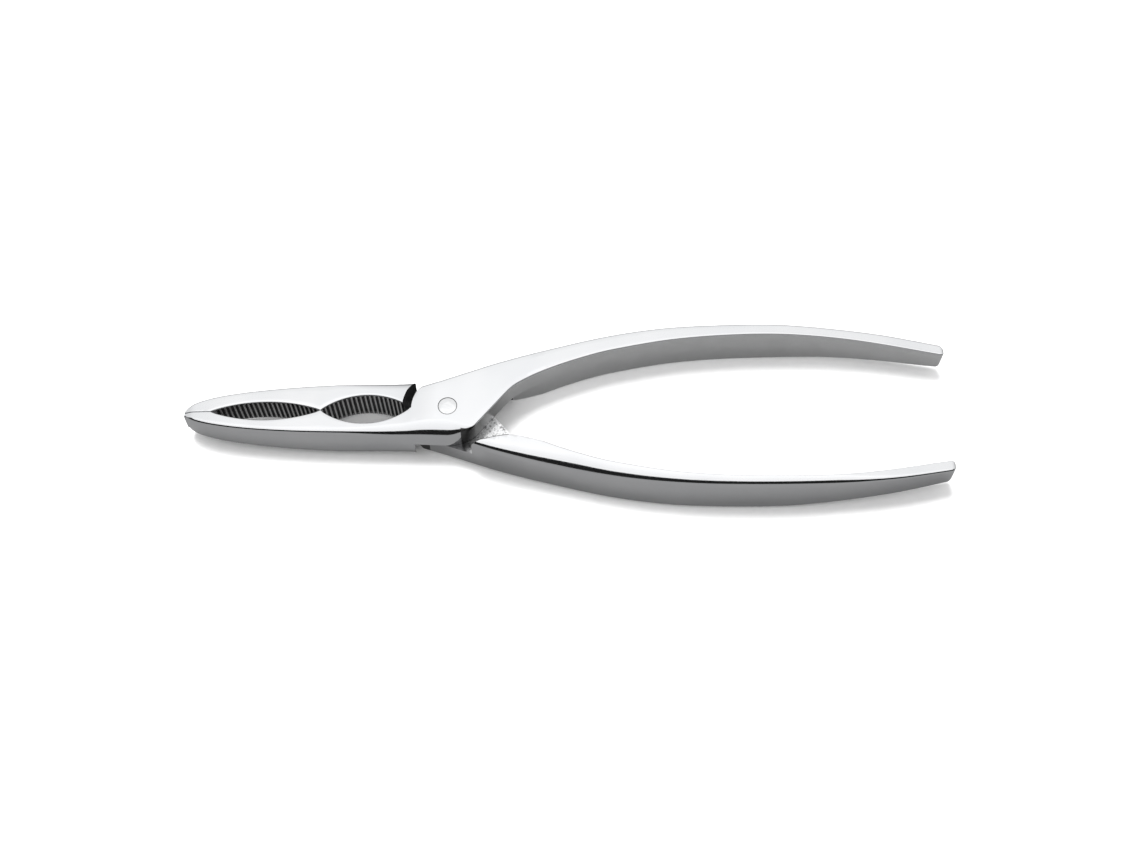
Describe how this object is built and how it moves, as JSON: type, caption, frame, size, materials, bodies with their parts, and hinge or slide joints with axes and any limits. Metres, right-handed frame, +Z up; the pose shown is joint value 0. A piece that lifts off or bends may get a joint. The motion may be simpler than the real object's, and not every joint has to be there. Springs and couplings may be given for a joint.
{
  "type": "nutcracker",
  "caption": "Plier-type nutcracker: crossed, lap-jointed levers with toothed nut and shellfish cavities in the jaws and long bowed handles.",
  "frame": {"origin": "on the pivot axis, in the plane that the closed tool rests on", "axes": "+X along the closed tool from the pivot towards the handle ends, +Y towards the upper lever's handle, +Z up along the rivet"},
  "size_m": [0.1893, 0.0454, 0.012],
  "materials": {
    "polished_steel": "forged stainless steel, mirror polished outside, satin in the throat, as forged in the lap joint and the teeth",
    "rivet_steel": "stainless steel, polished flush"
  },
  "bodies": {
    "upper_half": {"upper_lever": "polished_steel", "pivot_rivet": "rivet_steel"},
    "lower_half": {"lower_lever": "polished_steel"}
  },
  "joints": [
    {"name": "jaw_hinge", "type": "hinge", "parent": "upper_half", "child": "lower_half", "pos_m": [0, 0, 0.006], "axis": [0, 0, -1], "range_deg": [0, 45]}
  ]
}
